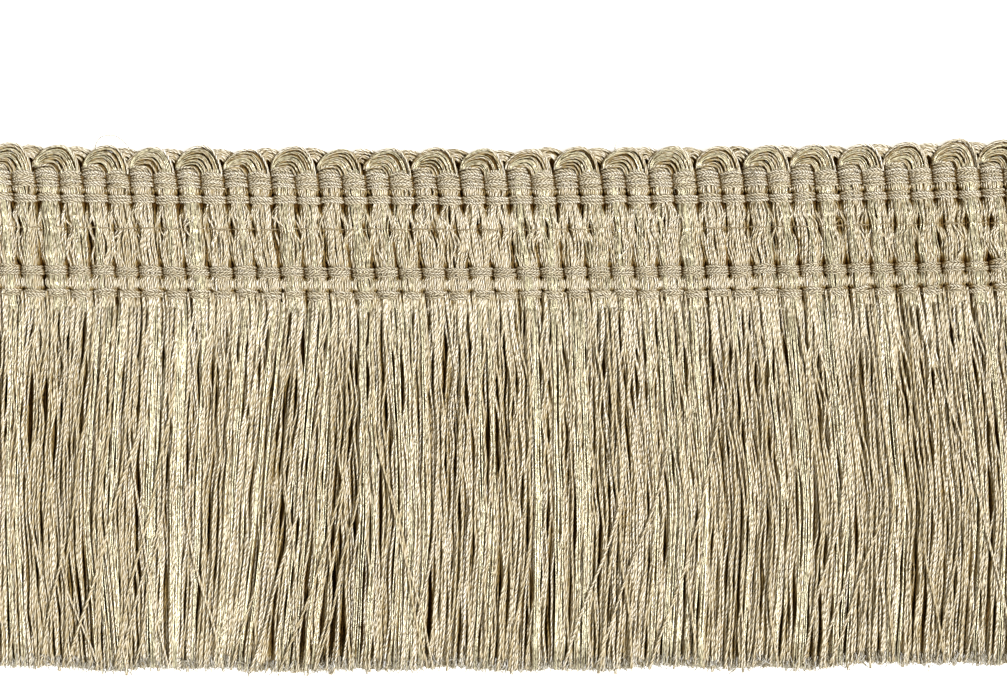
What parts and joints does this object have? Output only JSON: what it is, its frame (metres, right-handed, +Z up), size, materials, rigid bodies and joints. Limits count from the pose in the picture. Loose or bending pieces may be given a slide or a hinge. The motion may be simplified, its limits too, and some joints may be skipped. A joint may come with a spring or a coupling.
{
  "type": "fringe trim",
  "caption": "Flat length of brush fringe trim: a woven gimp heading with a scalloped loop edge and warp binders, and a deep straight skirt of cut yarn.",
  "frame": {"origin": "centre of the underside, on the surface that the trim lies on", "axes": "+X along the trim, +Y from the cut tips of the brush towards the loop edge, +Z up out of the face"},
  "size_m": [0.1602, 0.0762, 0.0032],
  "materials": {
    "weft_yarn": "lustrous two-ply beige viscose yarn with a few fine pale metallic threads",
    "binder_yarn": "plain woven beige warp yarn, slightly duller than the weft"
  },
  "bodies": {
    "root": {"gimp_heading": "weft_yarn", "brush_skirt": "weft_yarn", "binder_band_wide": "binder_yarn", "binder_band_narrow": "binder_yarn", "binder_thread": "binder_yarn", "foot_band_upper": "binder_yarn", "foot_band_lower": "binder_yarn"}
  },
  "joints": []
}
